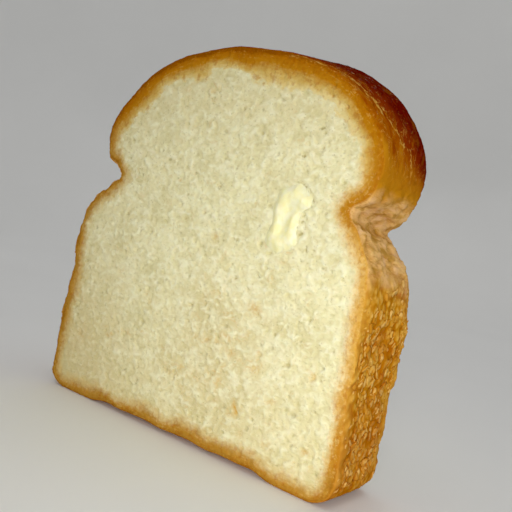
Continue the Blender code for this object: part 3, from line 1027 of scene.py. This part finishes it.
# %% Where they lie and how they turn
def scatter_places(tree, place, dome_share):
    """How crowded they are at each point: dense on the tin sides, thinner near the cuts and on the dome."""
    _, depthwise, height_up = split(tree, place)
    outside = fade(tree, stored(tree, "cut"), 0.1, 0.5, 1.0, 0.0)
    where = times(tree, plateau(tree, height_up, 2 * MM, 7 * MM, 46 * MM, 61 * MM), outside)
    rim = fade(tree, calc(tree, "ABSOLUTE", depthwise), 10.5 * MM, 12 * MM, 1.0, 0.2)
    clump = fade(tree, noise(tree, place, (7,) * 3, 2.0), 0.3, 0.6, 0.35, 1.0)
    where = times(tree, times(tree, where, rim), clump)
    on_dome = times(tree, fade(tree, height_up, 82 * MM, 92 * MM), outside)
    return calc(tree, "MULTIPLY_ADD", on_dome, dome_share, where)


def random_turn(tree, normal_turn, lean):
    """Long axis up, then turned at random by up to the lean, in radians."""
    settings = {"Rotation": normal_turn, "Factor": 1.0, "Vector": (0.0, 0.35, 1.0)}
    upright = put(tree, "FunctionNodeAlignRotationToVector", settings, axis="X", pivot_axis="Z").outputs[0]
    settings = {"Min": (-0.3, -0.3, -lean), "Max": (0.3, 0.3, lean), "Seed": 3}
    turn = put(tree, "FunctionNodeRandomValue", settings, data_type="FLOAT_VECTOR").outputs["Value"]
    settings = {"Rotation": upright, "Rotate By": turn}
    return put(tree, "FunctionNodeRotateRotation", settings, rotation_space="LOCAL").outputs[0]


def random_number(tree, low, high, seed):
    """A number of its own for each point or grain."""
    settings = {2: low, 3: high, "Seed": seed}
    return put(tree, "FunctionNodeRandomValue", settings, data_type="FLOAT").outputs[1]


print("places and turns ready")

# %% Scatter them over the crust
SCATTER_SOCKETS = [
    GEOMETRY,
    ("Density", "Float", 1.0e5),
    ("Smallest", "Float", 1.0 * MM),
    ("Largest", "Float", 2.0 * MM),
    ("Uneven", "Float", 1.0 * MM),
    ("Dome Share", "Float", 0.0),
    ("Seed", "Int", 7),
]


def scatter_tree(name, shape, material, lean):
    """A tree that spreads one shape over the crust."""
    tree, given, made = new_tree(name, "GeometryNodeTree", SCATTER_SOCKETS, [GEOMETRY])
    place = put(tree, "GeometryNodeInputPosition").outputs[0]
    density = times(tree, scatter_places(tree, place, given["Dome Share"]), given["Density"])
    points = put(tree, "GeometryNodeDistributePointsOnFaces", {
        "Mesh": given["Geometry"], "Density": density, "Seed": given["Seed"],
    }).outputs
    size = random_number(tree, given["Smallest"], given["Largest"], 5)
    from_middle = calc(tree, "ABSOLUTE", split(tree, place)[1])
    grains = put(tree, "GeometryNodeInstanceOnPoints", {
        "Points": points["Points"],
        "Instance": shape(tree),
        "Rotation": random_turn(tree, points["Rotation"], lean),
        "Scale": times(tree, size, fade(tree, from_middle, 7 * MM, 12 * MM, 1.0, 0.5)),
    }).outputs[0]
    grains = store(tree, grains, "tone", random_number(tree, 0.0, 1.0, 11), "INSTANCE")
    solid = put(tree, "GeometryNodeRealizeInstances", {0: grains}).outputs[0]
    jog = put(tree, "ShaderNodeTexNoise", {
        "Vector": stretch(tree, place, (1.1,) * 3), "Scale": 1.0, "Detail": 1.0,
    }).outputs["Color"]
    jog = vector_calc(tree, "SUBTRACT", jog, (0.5, 0.5, 0.5))
    solid = moved(tree, solid, Offset=scaled(tree, jog, given["Uneven"]))
    dressed = put(tree, "GeometryNodeSetMaterial", {"Geometry": solid, "Material": material})
    tree.links.new(dressed.outputs[0], made["Geometry"])
    return tree


def toasted_material(name, most):
    """Toasted crust, with painted shade where a grain meets the side and a painted highlight on its crown,
    each by its own tone.
    """
    material, tree, surface, place = new_material(name, {"Specular IOR Level": 0.12})
    speck = noise(tree, place, (1.6,) * 3, 4.0)
    crown, tone = attribute(tree, "crown"), attribute(tree, "tone")
    # Painted shade where a grain meets the side, and a painted highlight, blush, on its crown.
    rise = calc(tree, "MULTIPLY_ADD", crown, calc(tree, "MULTIPLY_ADD", tone, 0.6, 0.15), 0.25)
    crust = use(tree, crust_colour, {"Vector": place, "Rise": rise})
    light = times(tree, fade(tree, rise, 0.35, 0.95, 0.0, most), fade(tree, speck, 0.35, 0.60))
    tree.links.new(tint(tree, light, crust["Color"], BLUSH), surface["Base Color"])
    tree.links.new(fade(tree, speck, 0.3, 0.7, 0.75, 0.95), surface["Roughness"])
    roughen(tree, surface, 0.4, 0.2 * MM, speck)
    return material


# %% Make the grains and the flakes
grains = show(bread.data.copy(), "crust_grains")
grain_scatter = scatter_tree("crust grains", round_grain, toasted_material("toasted grains", 0.75), 0.5)
grow(grains, grain_scatter, density=4.4e5, smallest=1.2 * MM, largest=3.2 * MM)
grains.data.shade_smooth()
print("grains:", count(grains), "triangles")

flakes = show(bread.data.copy(), "crust_flakes")
flake_scatter = scatter_tree("crust flakes", curled_leaf, toasted_material("toasted flakes", 0.95), 1.0)
grow(flakes, flake_scatter, density=0.7e5, smallest=1.0 * MM, largest=1.9 * MM, uneven=0.1 * MM,
     dome_share=0.16, seed=21)
print("flakes:", count(flakes), "triangles")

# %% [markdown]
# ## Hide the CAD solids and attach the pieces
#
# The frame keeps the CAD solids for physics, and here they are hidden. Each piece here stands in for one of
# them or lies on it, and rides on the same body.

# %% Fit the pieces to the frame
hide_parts("bread_slice")
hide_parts("butter_dab")
for piece, finish in ((bread, "bread"), (butter, "butter"), (grains, "bread"), (flakes, "bread")):
    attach(piece, "root")
bpy.data.objects.remove(band, do_unlink=True)
print("pieces:", bread.name, butter.name, grains.name, flakes.name)

# %% [markdown]
# ## The studio
#
# A pale floor that curves up into a wall all round has no corner and no horizon, so nothing competes with
# the bread. The picture was lit by one small soft light from the front right, whose beam falls off towards
# the left. So the key light has a narrow spread and sits close by. Two weaker lights lift the shadows, and
# four more, high up and turned away from the bread, only brighten the wall.

# %% The floor
FLOOR_RADIUS = 1.1
WALL_HEIGHT = 1.3
WALL_BEND = 0.5


def circle(radius, up, steps):
    """Points round the Z axis."""
    turns = [math.tau * i / steps for i in range(steps)]
    return [(radius * math.cos(turn), radius * math.sin(turn), up) for turn in turns]


def sweep(radius, rise, bend, steps=64, bend_steps=12):
    """A round floor whose rim curves up into a wall."""
    profile = [(radius - bend, 0.0)]
    for k in range(1, bend_steps + 1):
        angle = 0.5 * math.pi * k / bend_steps
        profile.append((radius - bend + bend * math.sin(angle), bend - bend * math.cos(angle)))
    profile.append((radius, rise))
    shape = bmesh.new()
    middle = shape.verts.new((0.0, 0.0, 0.0))
    rings = [[shape.verts.new(point) for point in circle(reach, up, steps)] for reach, up in profile]
    for i in range(steps):
        shape.faces.new((middle, rings[0][i - 1], rings[0][i]))
        for inner, outer in zip(rings, rings[1:]):
            shape.faces.new((inner[i - 1], outer[i - 1], outer[i], inner[i]))
    mesh = bpy.data.meshes.new("studio floor")
    shape.to_mesh(mesh)
    shape.free()
    mesh.shade_smooth()
    return show(mesh, "studio_floor")


def floor_material():
    """A pale matt floor with the faintest mottle."""
    material, tree, surface, place = new_material("pale floor", {"Roughness": 0.8})
    tone = noise(tree, place, (120,) * 3, 3.0)
    colour = tint(tree, tone, (0.80, 0.80, 0.79, 1.0), (0.84, 0.84, 0.83, 1.0))
    tree.links.new(colour, surface["Base Color"])
    return material


floor = sweep(FLOOR_RADIUS, WALL_HEIGHT, WALL_BEND)
dress(floor, floor_material())

# %% The lights
MIDDLE = (0.0, 0.0, 0.06)
WARM_WHITE = (1.0, 0.985, 0.95)


def soft_light(name, place, target, size, power, colour=(1.0, 1.0, 1.0)):
    """A square area light that faces a point."""
    light = bpy.data.lights.new(name, "AREA")
    light.shape = "SQUARE"
    light.size = size
    light.energy = power
    light.color = colour
    lamp = bpy.data.objects.new(name, light)
    bpy.context.scene.collection.objects.link(lamp)
    lamp.location = place
    lamp.rotation_euler = (Vector(place) - Vector(target)).to_track_quat("Z", "Y").to_euler()
    return lamp


key = soft_light("key", (0.21, -0.28, 0.09), (0.06, 0.0, 0.028), 0.12, 0.111, WARM_WHITE)
key.data.spread = math.radians(65)
soft_light("fill", (-0.55, -0.45, 0.40), MIDDLE, 0.45, 0.10)
soft_light("back", (-0.40, 0.70, 0.50), MIDDLE, 0.50, 0.3)
for quarter in range(4):
    out = Matrix.Rotation(math.tau * quarter / 4 + 0.9, 3, "Z") @ Vector((1.0, 0.0, 0.0))
    soft_light("wall wash", 0.4 * out + Vector((0, 0, 1.0)), 1.1 * out + Vector((0, 0, 0.25)), 0.5, 1.5)
world = bpy.data.worlds.new("studio")
world.use_nodes = True
background = world.node_tree.nodes["Background"].inputs
background["Color"].default_value = (1.0, 1.0, 1.0, 1.0)
background["Strength"].default_value = 0.12
bpy.context.scene.world = world
bpy.context.scene.view_settings.view_transform = "Standard"
print("studio ready")
